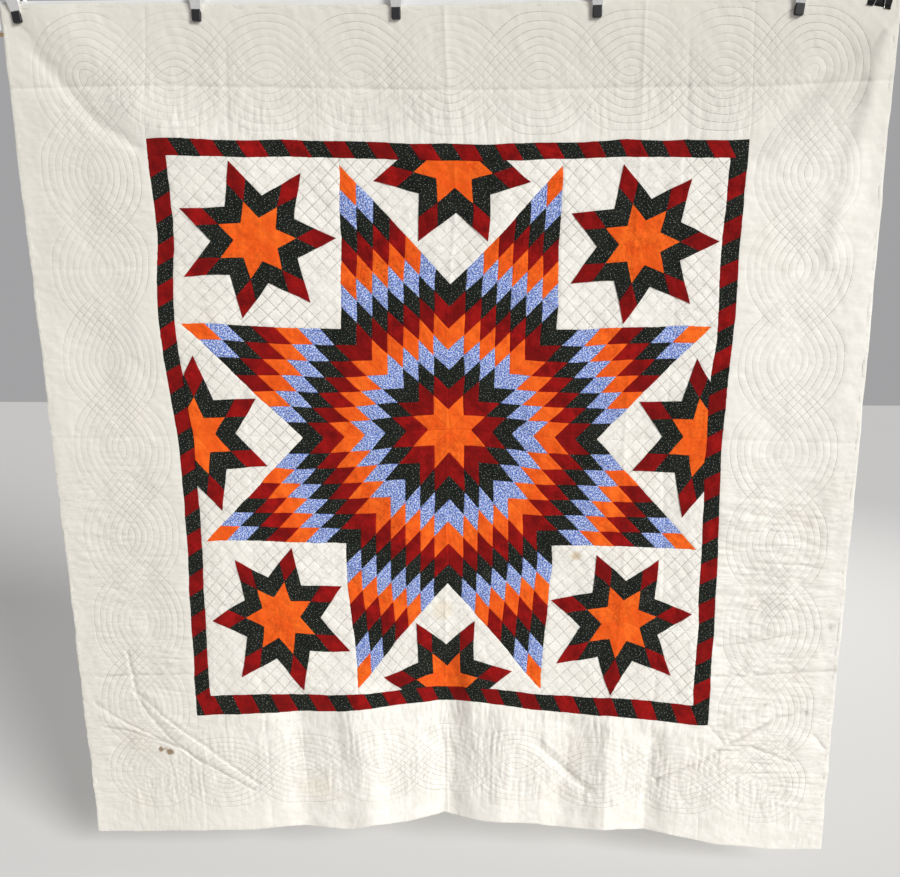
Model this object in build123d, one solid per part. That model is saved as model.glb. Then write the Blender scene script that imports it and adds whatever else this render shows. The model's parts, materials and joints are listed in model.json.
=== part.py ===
from build123d import *
import math
import os

os.makedirs("parts", exist_ok=True)

# A pieced star quilt hung by its top edge from a painted wall rail. Spring clamps and one
# binder clip pinch the quilt against the rail. Millimetres, +Z up, the viewer is on the -Y
# side. The origin is on the wall, in the middle of the rail's outer screws.

# Wall rail, its spacer blocks and its screws
RAIL_LENGTH = 2240.0
RAIL_HEIGHT = 60.0
RAIL_DEPTH = 20.0
RAIL_EDGE_RADIUS = 2.0
SPACER_DEPTH = 38.0
SPACER_WIDTH = 40.0
SPACER_X = (-1016.0, -609.6, 609.6, 1016.0)
SCREW_ROWS = (-17.0, 17.0)
SCREW_RADIUS = 2.4
SCREW_SHANK_RADIUS = 1.9
SCREW_HOLE_RADIUS = 2.7
SCREW_HEAD_RADIUS = 4.8
SCREW_HEAD_DEPTH = 3.6
SCREW_POINT = 6.0
SCREW_IN_WALL = 32.0
RECESS_LENGTH = 4.6
RECESS_WIDTH = 1.1
RECESS_DEPTH = 1.6

# Quilt, as it hangs
QUILT_HALF_WIDTH = 973.0
QUILT_TOP_Z = 23.0
STAR_BELOW_TOP = 975.0
HEM_BELOW_STAR = 1095.0
BACKING_THICK = 0.5
BATTING_THICK = 3.0
CLOTH_THICK = 0.5
SEAM_GAP = 0.1  # each patch stops this far short of its seam line
SAME_POINT = 1e-6
BINDING_THICK = 0.5
BINDING_WIDTH = 10.0
HANG_STRETCH = 1.057  # the bias-cut star has dropped this much under its own weight

# Patchwork, in the quilt's own flat size
STAR_PATCH = 50.8
STAR_ROWS = 7
STAR_POINTS = 8
FIELD_HALF = 621.0
STRIP_WIDTH = 39.0
STRIP_LEAN = 21.0
STRIP_COUNT = 28
SIDE_STRIP_COUNT = 26
SMALL_POINTS = 7
SMALL_PATCH = 49.0
HALF_PATCH = 51.0
STAR_FABRICS = ("orange", "red", "dark", "blue")
APPLIQUE_FABRICS = ("orange", "dark", "red")
# centre x, centre z and the way one tip points, in degrees
SMALL_STARS = (
    (-440.0, 442.0, 106.0),
    (438.0, 434.0, 105.0),
    (-425.0, -438.0, 129.0),
    (429.0, -438.0, 113.0),
)
HALF_STAR_OUT = 617.0
HALF_STARS = ((90.0, 0.0), (180.0, 4.0), (270.0, 2.0), (0.0, -2.0))

# Spring clamps: where each one bites along the rail, and how far it leans sideways
CLAMPS = ((-947.0, -9.0), (-549.0, 1.0), (-112.0, 0.0), (322.0, -1.0), (751.0, 5.0))
TIP_BELOW_TOP = 28.0
PIVOT_ABOVE_TIP = 48.0
STEEL = 1.2
LEVER_HALF_WIDTH = 13.0
LEVER_NEST = 1.5  # how much narrower the rear lever is, each side, to sit inside the front one
EAR_RADIUS = 8.0
RIVET_RADIUS = 2.5
RIVET_CLEARANCE = 0.05
RIVET_HEAD_RADIUS = 4.6
RIVET_HEAD_DEPTH = 1.6
TIP_HALF_WIDTH = 9.8
TIP_HALF_HEIGHT = 12.0
TIP_DEPTH = 10.0
TIP_CORNER_RADIUS = 3.0
TIP_EDGE_RADIUS = 2.0
JAW_END = -58.5
GRIP_START = 38.0
GRIP_WALL = 1.5
LEVER_END = 80.0
SPRING_WIRE = 2.4
SPRING_RADIUS = 5.4
SPRING_LEG_END = (30.2, 33.0)  # out and up from the pivot, just inside the handle's back
SPRING_PITCH = 2.6
SPRING_TURNS = 3

# Binder clip
BINDER_X = 919.0
BINDER_LEAN = 11.3
BINDER_LIP_BELOW_TOP = 23.0
BINDER_WIDTH = 50.8
BINDER_STEEL = 0.6
BINDER_HEIGHT = 38.0
LIP_OUTER = 1.75
LIP_BORE = 1.05
LIP_CLEARANCE = 0.1
LIP_TUBE_START = 13.0
BINDER_BEND_RADIUS = 1.5
HANDLE_WIRE = 0.97
HANDLE_IN_TUBE = 22.0
HANDLE_FOOT = 11.5
HANDLE_WAIST = 6.5
HANDLE_LOOP = 8.5
HANDLE_REACH = 52.0
HANDLE_TILT = 9.0

# Planes that the pieces share, counted from the wall towards the viewer
RAIL_FRONT = -(SPACER_DEPTH + RAIL_DEPTH)
BACKING_BACK = RAIL_FRONT - BINDING_THICK
BATTING_BACK = BACKING_BACK - BACKING_THICK
TOP_BACK = BATTING_BACK - BATTING_THICK
TOP_FRONT = TOP_BACK - CLOTH_THICK
GRIP_HALF = (-TOP_FRONT - SPACER_DEPTH) / 2
GRIP_Y = -SPACER_DEPTH - GRIP_HALF
LIP_Y = GRIP_HALF + LIP_CLEARANCE + LIP_OUTER
STAR_Z = QUILT_TOP_Z - STAR_BELOW_TOP
HEM_Z = STAR_Z - HEM_BELOW_STAR
FRAME_HALF = FIELD_HALF + STRIP_WIDTH


def save(name, solids):
    """One node: a single solid, or a group of separate solids."""
    shape = solids[0] if len(solids) == 1 else Compound(solids)
    shape.label = name
    export_step(shape, f"parts/{name}.step")


# ---- flat cloth ----


def cloth(outline, back, thick):
    """A flat piece of cloth with this outline of (x, z) points, its back at y = back."""
    wire = Wire.make_polygon([Vector(x, back, z) for x, z in outline], close=True)
    return Solid.extrude(Face(wire), Vector(0, -thick, 0))


def hung(outline):
    """Quilt points, counted from the star's centre, at their place on the hanging quilt."""
    return [(x, STAR_Z + HANG_STRETCH * z) for x, z in outline]


def trimmed(outline):
    """A convex outline, listed anticlockwise, with every side moved in by the seam gap."""
    corners = []
    for i in range(len(outline)):
        before, here, after = outline[i - 1], outline[i], outline[(i + 1) % len(outline)]
        lines = []
        for (x0, z0), (x1, z1) in ((before, here), (here, after)):
            side = math.hypot(x1 - x0, z1 - z0)
            normal = ((z0 - z1) / side, (x1 - x0) / side)
            lines.append((*normal, normal[0] * x0 + normal[1] * z0 + SEAM_GAP))
        (a, b, m), (c, d, n) = lines
        cross = a * d - b * c
        corners.append(((m * d - b * n) / cross, (a * n - m * c) / cross))
    return corners


def rectangle(left, low, right, high):
    return [(left, low), (right, low), (right, high), (left, high)]


def clip(outline, through, inward):
    """The part of a convex outline on the inward side of a line through a point."""
    kept = []
    depth = [(x - through[0]) * inward[0] + (z - through[1]) * inward[1] for x, z in outline]
    depth = [0.0 if abs(d) < SAME_POINT else d for d in depth]
    for i, (x, z) in enumerate(outline):
        j = (i + 1) % len(outline)
        if depth[i] >= 0:
            kept.append((x, z))
        if depth[i] * depth[j] < 0:
            share = depth[i] / (depth[i] - depth[j])
            kept.append((x + share * (outline[j][0] - x), z + share * (outline[j][1] - z)))
    return kept


def lozenge(centre, first, step, i, j, side):
    """Patch (i, j) of a star point that spans the directions first and first + step."""
    a, b = math.radians(first), math.radians(first + step)
    corners = ((i, j), (i + 1, j), (i + 1, j + 1), (i, j + 1))
    return [
        (
            centre[0] + side * (m * math.cos(a) + n * math.cos(b)),
            centre[1] + side * (m * math.sin(a) + n * math.sin(b)),
        )
        for m, n in corners
    ]


def patch(outline, back):
    """One cut piece of the quilt top."""
    return cloth(trimmed(outline), back, CLOTH_THICK)


def star_patches():
    """Every patch of the big star, by fabric: rings of one fabric round the centre."""
    found = {fabric: [] for fabric in STAR_FABRICS}
    step = 360 / STAR_POINTS
    for point in range(STAR_POINTS):
        for i in range(STAR_ROWS):
            for j in range(STAR_ROWS):
                outline = lozenge((0, 0), step * point, step, i, j, STAR_PATCH)
                fabric = STAR_FABRICS[(i + j) % len(STAR_FABRICS)]
                found[fabric].append(patch(hung(outline), TOP_BACK))
    return found


def small_star(centre, tip, side, inside=None):
    """One seven-pointed star as (fabric, outline) pairs, cut off at the field's edge if asked."""
    step = 360 / SMALL_POINTS
    pieces = []
    for point in range(SMALL_POINTS):
        for i, j in ((0, 0), (0, 1), (1, 0), (1, 1)):
            first = tip - step / 2 + step * point
            outline = lozenge(centre, first, step, i, j, side)
            if inside:
                outline = clip(outline, (-FIELD_HALF * inside[0], -FIELD_HALF * inside[1]), inside)
            if len(outline) > 2:
                pieces.append((APPLIQUE_FABRICS[i + j], outline))
    return pieces


def applique_patches():
    """The small stars, sewn on top of the white cloth, by fabric."""
    found = {fabric: [] for fabric in APPLIQUE_FABRICS}
    pieces = []
    for x, z, tip in SMALL_STARS:
        pieces += small_star((x, z), tip, SMALL_PATCH)
    for way, turn in HALF_STARS:
        out = (math.cos(math.radians(way)), math.sin(math.radians(way)))
        centre = (HALF_STAR_OUT * out[0], HALF_STAR_OUT * out[1])
        tip = way + 180 + 180 / SMALL_POINTS + turn
        pieces += small_star(centre, tip, HALF_PATCH, (-out[0], -out[1]))
    for fabric, outline in pieces:
        found[fabric].append(patch(hung(outline), TOP_FRONT))
    return found


def setting_pieces():
    """White corner squares and edge triangles that fill between the star and the frame."""
    notch = STAR_PATCH * STAR_ROWS
    inner = notch * math.sqrt(0.5)
    tip = inner + notch
    squares, triangles = [], []
    for quarter in range(4):
        a = math.radians(90 * quarter)
        square = rectangle(inner, inner, FIELD_HALF, FIELD_HALF)
        triangle = [
            (0, notch),
            (inner, tip),
            (inner, FIELD_HALF),
            (-inner, FIELD_HALF),
            (-inner, tip),
        ]
        for outline, group in ((square, squares), (triangle, triangles)):
            turned = [
                (x * math.cos(a) - z * math.sin(a), x * math.sin(a) + z * math.cos(a))
                for x, z in outline
            ]
            group.append(patch(hung(turned), TOP_BACK))
    return squares, triangles


def strip_patches():
    """The frame of slanting red and dark patches round the field, by fabric."""
    found = {"red": [], "dark": []}
    pitch = 2 * FRAME_HALF / STRIP_COUNT
    for low, first in ((FIELD_HALF, 0), (-FRAME_HALF, 1)):
        bounds = ((-FRAME_HALF, 0), (1, 0)), ((FRAME_HALF, 0), (-1, 0))
        for n in range(-first, STRIP_COUNT):
            left = -FRAME_HALF + pitch * n
            start = left - STRIP_LEAN if n == 0 and first == 0 else left
            if n < 0:
                start = left - STRIP_LEAN
            high = low + STRIP_WIDTH
            outline = [
                (start + STRIP_LEAN, low),
                (left + pitch + STRIP_LEAN, low),
                (left + pitch, high),
                (start, high),
            ]
            if n == STRIP_COUNT - 1:
                outline[1:3] = [(left + 2 * pitch, low), (left + 2 * pitch, high)]
            for through, inward in bounds:
                outline = clip(outline, through, inward)
            fabric = "dark" if n % 2 else "red"
            found[fabric].append(patch(hung(outline), TOP_BACK))
    pitch = 2 * FIELD_HALF / SIDE_STRIP_COUNT
    for left, first in ((-FRAME_HALF, 1), (FIELD_HALF, 0)):
        bounds = ((0, -FIELD_HALF), (0, 1)), ((0, FIELD_HALF), (0, -1))
        for n in range(-1, SIDE_STRIP_COUNT):
            low = -FIELD_HALF + pitch * n
            start = low if n >= 0 else low - STRIP_LEAN
            outline = [
                (left, start),
                (left + STRIP_WIDTH, start + STRIP_LEAN),
                (left + STRIP_WIDTH, low + pitch + STRIP_LEAN),
                (left, low + pitch),
            ]
            for through, inward in bounds:
                outline = clip(outline, through, inward)
            fabric = "dark" if (n + first) % 2 else "red"
            found[fabric].append(patch(hung(outline), TOP_BACK))
    return found


def border_pieces():
    """The four wide white borders. The side ones run the quilt's whole height."""
    frame_low = STAR_Z - HANG_STRETCH * FRAME_HALF
    frame_high = STAR_Z + HANG_STRETCH * FRAME_HALF
    side = QUILT_HALF_WIDTH - CLOTH_THICK
    top, hem = QUILT_TOP_Z - CLOTH_THICK, HEM_Z + CLOTH_THICK
    outlines = {
        "border_top": rectangle(-FRAME_HALF, frame_high, FRAME_HALF, top),
        "border_bottom": rectangle(-FRAME_HALF, hem, FRAME_HALF, frame_low),
        "border_left": rectangle(-side, hem, -FRAME_HALF, top),
        "border_right": rectangle(FRAME_HALF, hem, side, top),
    }
    return {name: patch(outline, TOP_BACK) for name, outline in outlines.items()}


def slab(inset, back, front):
    """The quilt's whole rectangle, cut in by inset, from y = back to y = front."""
    outline = rectangle(
        -QUILT_HALF_WIDTH + inset,
        HEM_Z + inset,
        QUILT_HALF_WIDTH - inset,
        QUILT_TOP_Z - inset,
    )
    return cloth(outline, back, back - front)


def binding():
    """The folded strip round the quilt's edge: front leg, back leg and rim."""
    whole = slab(0, RAIL_FRONT, TOP_FRONT - BINDING_THICK)
    layers = slab(CLOTH_THICK, BACKING_BACK, TOP_FRONT)
    window = slab(BINDING_WIDTH, RAIL_FRONT + 1, TOP_FRONT - BINDING_THICK - 1)
    return whole - layers - window


def make_quilt():
    for fabric, solids in star_patches().items():
        save(f"star_{fabric}_patches", solids)
    for fabric, solids in applique_patches().items():
        save(f"applique_{fabric}_patches", solids)
    for fabric, solids in strip_patches().items():
        save(f"frame_{fabric}_patches", solids)
    squares, triangles = setting_pieces()
    save("setting_squares", squares)
    save("setting_triangles", triangles)
    for name, solid in border_pieces().items():
        save(name, [solid])
    save("batting", [slab(CLOTH_THICK, BATTING_BACK, TOP_BACK)])
    save("backing", [slab(CLOTH_THICK, BACKING_BACK, BATTING_BACK)])
    save("binding", binding().solids())


# ---- wall rail ----


def along_y(radius, near, far, x, z, far_radius=None):
    """A cylinder, or a cone, from y = near to y = far."""
    plane = Plane(origin=(x, near, z), x_dir=(1, 0, 0), z_dir=(0, math.copysign(1, far - near), 0))
    length = abs(far - near)
    if far_radius is None:
        return plane * Cylinder(radius, length, align=(Align.CENTER, Align.CENTER, Align.MIN))
    return plane * Cone(radius, far_radius, length, align=(Align.CENTER, Align.CENTER, Align.MIN))


def screw_places():
    return [(x, z) for x in SPACER_X for z in SCREW_ROWS]


def screw_head(x, z, radius, depth):
    return along_y(radius, RAIL_FRONT, RAIL_FRONT + depth, x, z, SCREW_SHANK_RADIUS)


def rail():
    middle = RAIL_FRONT + RAIL_DEPTH / 2
    board = Pos(0, middle, 0) * Box(RAIL_LENGTH, RAIL_DEPTH, RAIL_HEIGHT)
    board = fillet(board.edges().filter_by(Axis.X), RAIL_EDGE_RADIUS)
    for x, z in screw_places():
        board -= along_y(SCREW_HOLE_RADIUS, RAIL_FRONT - 1, -SPACER_DEPTH + 1, x, z)
        board -= screw_head(x, z, SCREW_HEAD_RADIUS + 0.2, SCREW_HEAD_DEPTH + 0.2)
    return board.solids()


def spacers():
    blocks = []
    for x in SPACER_X:
        block = Pos(x, -SPACER_DEPTH / 2, 0) * Box(SPACER_WIDTH, SPACER_DEPTH, RAIL_HEIGHT)
        block = chamfer(block.edges().filter_by(Axis.Y), RAIL_EDGE_RADIUS / 2)
        for z in SCREW_ROWS:
            block -= along_y(SCREW_HOLE_RADIUS, -SPACER_DEPTH - 1, 1, x, z)
        blocks += block.solids()
    return blocks


def screws():
    solids = []
    for x, z in screw_places():
        screw = screw_head(x, z, SCREW_HEAD_RADIUS, SCREW_HEAD_DEPTH)
        screw += along_y(SCREW_SHANK_RADIUS, RAIL_FRONT + SCREW_HEAD_DEPTH, 0, x, z)
        screw += along_y(SCREW_RADIUS, 0, SCREW_IN_WALL, x, z)
        screw += along_y(SCREW_RADIUS, SCREW_IN_WALL, SCREW_IN_WALL + SCREW_POINT, x, z, 0.3)
        for width, height in ((RECESS_LENGTH, RECESS_WIDTH), (RECESS_WIDTH, RECESS_LENGTH)):
            screw -= Pos(x, RAIL_FRONT, z) * Box(width, 2 * RECESS_DEPTH, height)
        solids += screw.solids()
    return solids


# ---- spring clamps ----
# Each lever is drawn with the pivot at the origin: "out" is away from the clamp's middle
# plane, towards the viewer for the front lever and towards the wall for the rear one.

FRONT, REAR = -1, 1
LEVER_BACK = [
    (16.2, JAW_END),
    (20.0, -36.0),
    (24.5, -12.0),
    (23.5, 3.0),
    (28.0, 15.0),
    (47.0, LEVER_END),
]
LEVER_EDGE = [(38.5, LEVER_END), (18.0, 17.0), (14.8, -10.0), (14.2, -35.0), (13.0, JAW_END)]
EAR_ROOT = LEVER_EDGE[1:3]
LEVER_FRONT_VIEW = [
    (7.6, JAW_END - 1),
    (LEVER_HALF_WIDTH, -12.0),
    (LEVER_HALF_WIDTH, 10.0),
    (9.2, LEVER_END + 1),
]
PAST_END = 6.0
PAST_MIDDLE = -20.0


def side_view(side, points):
    """A face in the YZ plane from (out, z) points."""
    return make_face(Plane.YZ * Polyline(*[(side * out, z) for out, z in points], close=True))


def front_view(points, grow):
    """A face in the XZ plane from the (half width, z) points of its right edge."""
    right = [(x + grow, 0, z) for x, z in points]
    left = [(-x, 0, z) for x, _, z in reversed(right)]
    return make_face(Polyline(*right, *left, close=True))


def lever_blank(side, outline, grow):
    """A solid lever: its side view, cut to its front view."""
    across = extrude(side_view(side, outline), amount=2 * LEVER_HALF_WIDTH, both=True)
    return across & extrude(front_view(LEVER_FRONT_VIEW, grow), amount=4 * LEVER_END, both=True)


def lever(side, grow):
    """One stamped lever: a channel whose two flanges carry the ears round the rivet."""
    half = LEVER_HALF_WIDTH + grow
    ear_outline = [(0, EAR_RADIUS), *EAR_ROOT, (0, -EAR_RADIUS)]
    ears = extrude(side_view(side, ear_outline), amount=half, both=True)
    ears += Rot(0, 90, 0) * Cylinder(EAR_RADIUS, 2 * half)
    inside = [(out - STEEL, z) for out, z in LEVER_BACK]
    inside[0] = (inside[0][0], JAW_END - PAST_END)
    inside[-1] = (inside[-1][0] + STEEL, LEVER_END + PAST_END)
    inside += [(PAST_MIDDLE, LEVER_END + PAST_END), (PAST_MIDDLE, JAW_END - PAST_END)]
    channel = lever_blank(side, inside, grow - STEEL)
    hole = Rot(0, 90, 0) * Cylinder(RIVET_RADIUS + RIVET_CLEARANCE, 4 * half)
    return lever_blank(side, LEVER_BACK + LEVER_EDGE, grow) + ears - channel - hole


def soft_tip(side, grow):
    """The vinyl pad pushed over the jaw's end. Its flat face presses on the quilt or the rail."""
    pad = Pos(0, side * (GRIP_HALF + TIP_DEPTH / 2), -PIVOT_ABOVE_TIP) * Box(
        2 * TIP_HALF_WIDTH, TIP_DEPTH, 2 * TIP_HALF_HEIGHT
    )
    low_corners = pad.edges().filter_by(Axis.Y).sort_by(Axis.Z)[:2]
    pad = fillet(low_corners, TIP_CORNER_RADIUS)
    outer_face = pad.faces().sort_by(Axis.Y)[-1 if side == REAR else 0]
    pad = fillet(outer_face.edges(), TIP_EDGE_RADIUS)
    return pad - lever_blank(side, LEVER_BACK + LEVER_EDGE, grow)


def grip(side, grow):
    """The vinyl sleeve dipped over the handle, closed at its end."""
    back = [(out + GRIP_WALL, z) for out, z in LEVER_BACK]
    edge = [(out - GRIP_WALL, z) for out, z in LEVER_EDGE]
    back[-1] = (back[-1][0], LEVER_END + GRIP_WALL)
    edge[0] = (edge[0][0], LEVER_END + GRIP_WALL)
    sleeve = lever_blank(side, back + edge, grow + GRIP_WALL)
    above = LEVER_END - GRIP_START
    sleeve &= Pos(0, 0, GRIP_START + above) * Box(4 * LEVER_END, 4 * LEVER_END, 2 * above)
    return sleeve - lever_blank(side, LEVER_BACK + LEVER_EDGE, grow)


def rivet():
    shaft = Cylinder(RIVET_RADIUS, 2 * (LEVER_HALF_WIDTH + RIVET_CLEARANCE))
    head = Cylinder(RIVET_HEAD_RADIUS, RIVET_HEAD_DEPTH)
    head = fillet(head.edges(), RIVET_HEAD_DEPTH / 3)
    lift = LEVER_HALF_WIDTH + RIVET_CLEARANCE + RIVET_HEAD_DEPTH / 2
    return Rot(0, 90, 0) * (shaft + Pos(0, 0, lift) * head + Pos(0, 0, -lift) * head)


def spring():
    """A torsion spring round the rivet, with one straight leg along the inside of each handle."""
    reach = math.hypot(*SPRING_LEG_END)
    leg_length = math.sqrt(reach**2 - SPRING_RADIUS**2)
    lean = math.atan2(*SPRING_LEG_END) - math.atan2(SPRING_RADIUS, leg_length)
    turn = 2 * math.pi * SPRING_TURNS + math.pi - 2 * lean
    length = SPRING_PITCH * turn / (2 * math.pi)
    line = Helix(SPRING_PITCH, length, SPRING_RADIUS)
    section = Plane(origin=line @ 0, z_dir=line % 0) * Circle(SPRING_WIRE / 2)
    solid = sweep(section, path=line, is_frenet=True)
    straight = Cylinder(
        SPRING_WIRE / 2, leg_length, align=(Align.CENTER, Align.CENTER, Align.MIN)
    )
    for end, way in ((line @ 0, -(line % 0)), (line @ 1, line % 1)):
        solid += Plane(origin=end, z_dir=way) * straight
    start = math.pi + lean
    coil_axis = Plane(
        origin=(-length / 2, 0, 0),
        x_dir=(0, math.cos(start), math.sin(start)),
        z_dir=(1, 0, 0),
    )
    return coil_axis * solid


def clamp_place(x, lean):
    """Where a clamp's pivot goes: it leans about the middle of its tips."""
    tip = Pos(x, GRIP_Y, QUILT_TOP_Z - TIP_BELOW_TOP)
    return tip * Rot(0, lean, 0) * Pos(0, 0, PIVOT_ABOVE_TIP)


def make_clamps():
    pieces = {"spring": spring()}
    for name, side, grow in (("front", FRONT, 0.0), ("rear", REAR, -LEVER_NEST)):
        pieces[f"{name}_lever"] = lever(side, grow)
        pieces[f"{name}_tip"] = soft_tip(side, grow)
        pieces[f"{name}_grip"] = grip(side, grow)
    rivets = []
    for number, (x, lean) in enumerate(CLAMPS, 1):
        place = clamp_place(x, lean)
        for name, piece in pieces.items():
            save(f"clamp_{number}_{name}", (place * piece).solids())
        rivets += (place * rivet()).solids()
    save("clamp_rivets", rivets)


# ---- binder clip ----
# Drawn upright round the middle of its lips, then leaned sideways and put on the rail.


def binder_body():
    """A bent spring-steel strip with its two edges rolled into short tubes for the handles."""
    half = GRIP_HALF + BINDER_STEEL / 2
    right = [
        (half, 0),
        (half + 0.8, 7),
        (half + 1.1, 22),
        (half + 0.5, BINDER_HEIGHT - 3),
        (half - 1.5, BINDER_HEIGHT),
    ]
    path = right + [(-out, z) for out, z in reversed(right)]
    centre_line = FilletPolyline(*path, radius=BINDER_BEND_RADIUS)
    strip = Plane.YZ * make_face(trace(centre_line, BINDER_STEEL).face().outer_wire())
    body = extrude(strip, amount=BINDER_WIDTH / 2, both=True)
    tube_length = BINDER_WIDTH / 2 - LIP_TUBE_START
    tube = Rot(0, 90, 0) * (
        Cylinder(LIP_OUTER, tube_length) - Cylinder(LIP_BORE, tube_length)
    )
    bore = Rot(0, 90, 0) * Cylinder(LIP_BORE, 2 * BINDER_WIDTH)
    for side in (FRONT, REAR):
        for end in (-1, 1):
            middle = end * (LIP_TUBE_START + tube_length / 2)
            body += Pos(middle, side * LIP_Y, 0) * tube
        body -= Pos(0, side * LIP_Y, 0) * bore
    return body


def binder_handle(side):
    """A bent wire loop whose two ends turn in the lip's tubes."""
    right = [
        (HANDLE_IN_TUBE, 0),
        (HANDLE_FOOT, 0),
        (HANDLE_WAIST, 28),
        (HANDLE_LOOP, HANDLE_REACH - 5),
        (HANDLE_LOOP - 4, HANDLE_REACH),
    ]
    path = right + [(-x, z) for x, z in reversed(right)]
    radii = [1.2, 8, 4, 3.5, 3.5, 4, 8, 1.2]
    line = FilletPolyline(*path, radius=radii)
    wire = sweep(Plane(origin=line @ 0, z_dir=line % 0) * Circle(HANDLE_WIRE), path=line)
    upright = Rot(90, 0, 0) * wire
    return Pos(0, side * LIP_Y, 0) * Rot(-side * HANDLE_TILT, 0, 0) * upright


def make_binder_clip():
    lip = Pos(BINDER_X, GRIP_Y, QUILT_TOP_Z - BINDER_LIP_BELOW_TOP)
    place = lip * Rot(0, BINDER_LEAN, 0)
    save("binder_body", (place * binder_body()).solids())
    save("binder_front_handle", (place * binder_handle(FRONT)).solids())
    save("binder_rear_handle", (place * binder_handle(REAR)).solids())


make_quilt()
save("rail", rail())
save("spacers", spacers())
save("wall_screws", screws())
make_clamps()
make_binder_clip()
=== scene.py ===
import json
import math

import bpy
import numpy as np
from mathutils import Matrix, Vector, geometry


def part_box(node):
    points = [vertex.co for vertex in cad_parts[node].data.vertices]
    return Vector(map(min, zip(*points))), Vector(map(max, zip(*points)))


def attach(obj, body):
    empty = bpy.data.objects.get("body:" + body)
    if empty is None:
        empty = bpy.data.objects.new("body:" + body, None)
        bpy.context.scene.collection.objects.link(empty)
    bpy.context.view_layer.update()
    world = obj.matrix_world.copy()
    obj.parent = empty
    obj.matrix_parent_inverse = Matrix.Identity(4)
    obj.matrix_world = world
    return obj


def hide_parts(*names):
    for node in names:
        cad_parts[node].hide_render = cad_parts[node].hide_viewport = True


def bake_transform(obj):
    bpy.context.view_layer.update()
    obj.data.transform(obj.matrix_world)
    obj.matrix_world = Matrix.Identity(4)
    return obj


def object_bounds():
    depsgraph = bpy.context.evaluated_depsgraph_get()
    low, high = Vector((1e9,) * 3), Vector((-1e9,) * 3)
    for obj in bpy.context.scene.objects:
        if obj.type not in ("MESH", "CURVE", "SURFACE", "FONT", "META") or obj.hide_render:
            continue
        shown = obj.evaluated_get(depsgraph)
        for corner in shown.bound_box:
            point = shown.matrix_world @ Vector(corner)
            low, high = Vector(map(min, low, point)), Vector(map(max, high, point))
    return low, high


# A pieced star quilt hung by its top edge from a wall rail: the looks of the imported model.
# Metres. "Flat" places on the quilt are (u, v): across and up from the middle of its star.

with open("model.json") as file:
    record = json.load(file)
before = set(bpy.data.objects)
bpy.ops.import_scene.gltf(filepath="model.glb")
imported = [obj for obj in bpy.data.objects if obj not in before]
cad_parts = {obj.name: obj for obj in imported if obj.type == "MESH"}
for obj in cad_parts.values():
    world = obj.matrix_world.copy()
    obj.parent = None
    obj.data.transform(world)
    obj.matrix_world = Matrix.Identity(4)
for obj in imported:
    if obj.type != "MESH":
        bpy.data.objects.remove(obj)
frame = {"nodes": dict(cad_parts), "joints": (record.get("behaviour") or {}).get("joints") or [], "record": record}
cad_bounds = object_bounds()
nodes = frame["nodes"]
scene = bpy.context.scene

MM = 0.001

# ---- where things are, from the frame ----

field_low, field_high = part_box("setting_squares")
backing_low, backing_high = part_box("backing")
border_low, border_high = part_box("border_top")
STAR_X = (field_low.x + field_high.x) / 2
STAR_Z = (field_low.z + field_high.z) / 2
FIELD = (field_high.x - field_low.x) / 2
STRETCH = (field_high.z - field_low.z) / (field_high.x - field_low.x)
FIELD_V = FIELD * STRETCH
FRAME_U = border_high.x - STAR_X
FRAME_V = border_low.z - STAR_Z
SIDE = backing_high.x - STAR_X
TOP = backing_high.z - STAR_Z
HEM = backing_low.z - STAR_Z
FRONT_Y = border_low.y
BACK_Y = backing_high.y
RAIL_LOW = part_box("rail")[0].z - STAR_Z

# ---- stage ----

EYE_FROM_STAR = (0.0706, -2.0417, 0.4634)
EYE = Vector(EYE_FROM_STAR) + Vector((STAR_X, FRONT_Y, STAR_Z))
YAW, PITCH, ROLL = 1.893, -12.724, 0.10
SENSOR, LENS = 36.0, 34.8
FLOOR_SIZE = 14
FLOOR_DROP = 0.12
SURROUND = (0.52, 0.52, 0.53, 1)
SURROUND_STRENGTH = 0.70
SUN_WAY = (-0.66, 0.62, -0.44)
SUN_STRENGTH = 3.05
SUN_SPREAD = 24.0
BEHIND_PLACE = Vector((1.4, 2.6, 0.6))
BEHIND_ENERGY = 46
BEHIND_SIZE = 2.4
BEHIND_COLOUR = (1.0, 0.99, 0.97)


def make_camera():
    """A viewer a little right of the star's middle and above it, looking slightly down."""
    camera = bpy.data.objects.new("camera", bpy.data.cameras.new("camera"))
    scene.collection.objects.link(camera)
    camera.data.sensor_fit = "HORIZONTAL"
    camera.data.sensor_width = SENSOR
    camera.data.lens = LENS
    turn = Matrix.Rotation(math.radians(YAW), 4, "Z")
    turn @= Matrix.Rotation(math.radians(PITCH), 4, "X")
    turn @= Matrix.Rotation(math.radians(ROLL), 4, "Y")
    camera.matrix_world = Matrix.Translation(EYE) @ turn @ Matrix.Rotation(math.pi / 2, 4, "X")
    scene.camera = camera


def make_light(name, kind, energy, facing, place=(0, 0, 0)):
    lamp = bpy.data.lights.new(name, kind)
    lamp.energy = energy
    light = bpy.data.objects.new(name, lamp)
    scene.collection.objects.link(light)
    light.location = place
    light.rotation_euler = Vector(facing).to_track_quat("-Z", "Y").to_euler()
    return lamp


def make_lights():
    """A sun above and to the right, low enough to show the folds, and a soft light behind."""
    sun = make_light("sun", "SUN", SUN_STRENGTH, SUN_WAY)
    sun.angle = math.radians(SUN_SPREAD)
    middle = Vector((STAR_X, FRONT_Y, STAR_Z))
    behind = make_light("behind", "AREA", BEHIND_ENERGY, middle - BEHIND_PLACE, BEHIND_PLACE)
    behind.shape = "SQUARE"
    behind.size = BEHIND_SIZE
    behind.color = BEHIND_COLOUR


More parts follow.
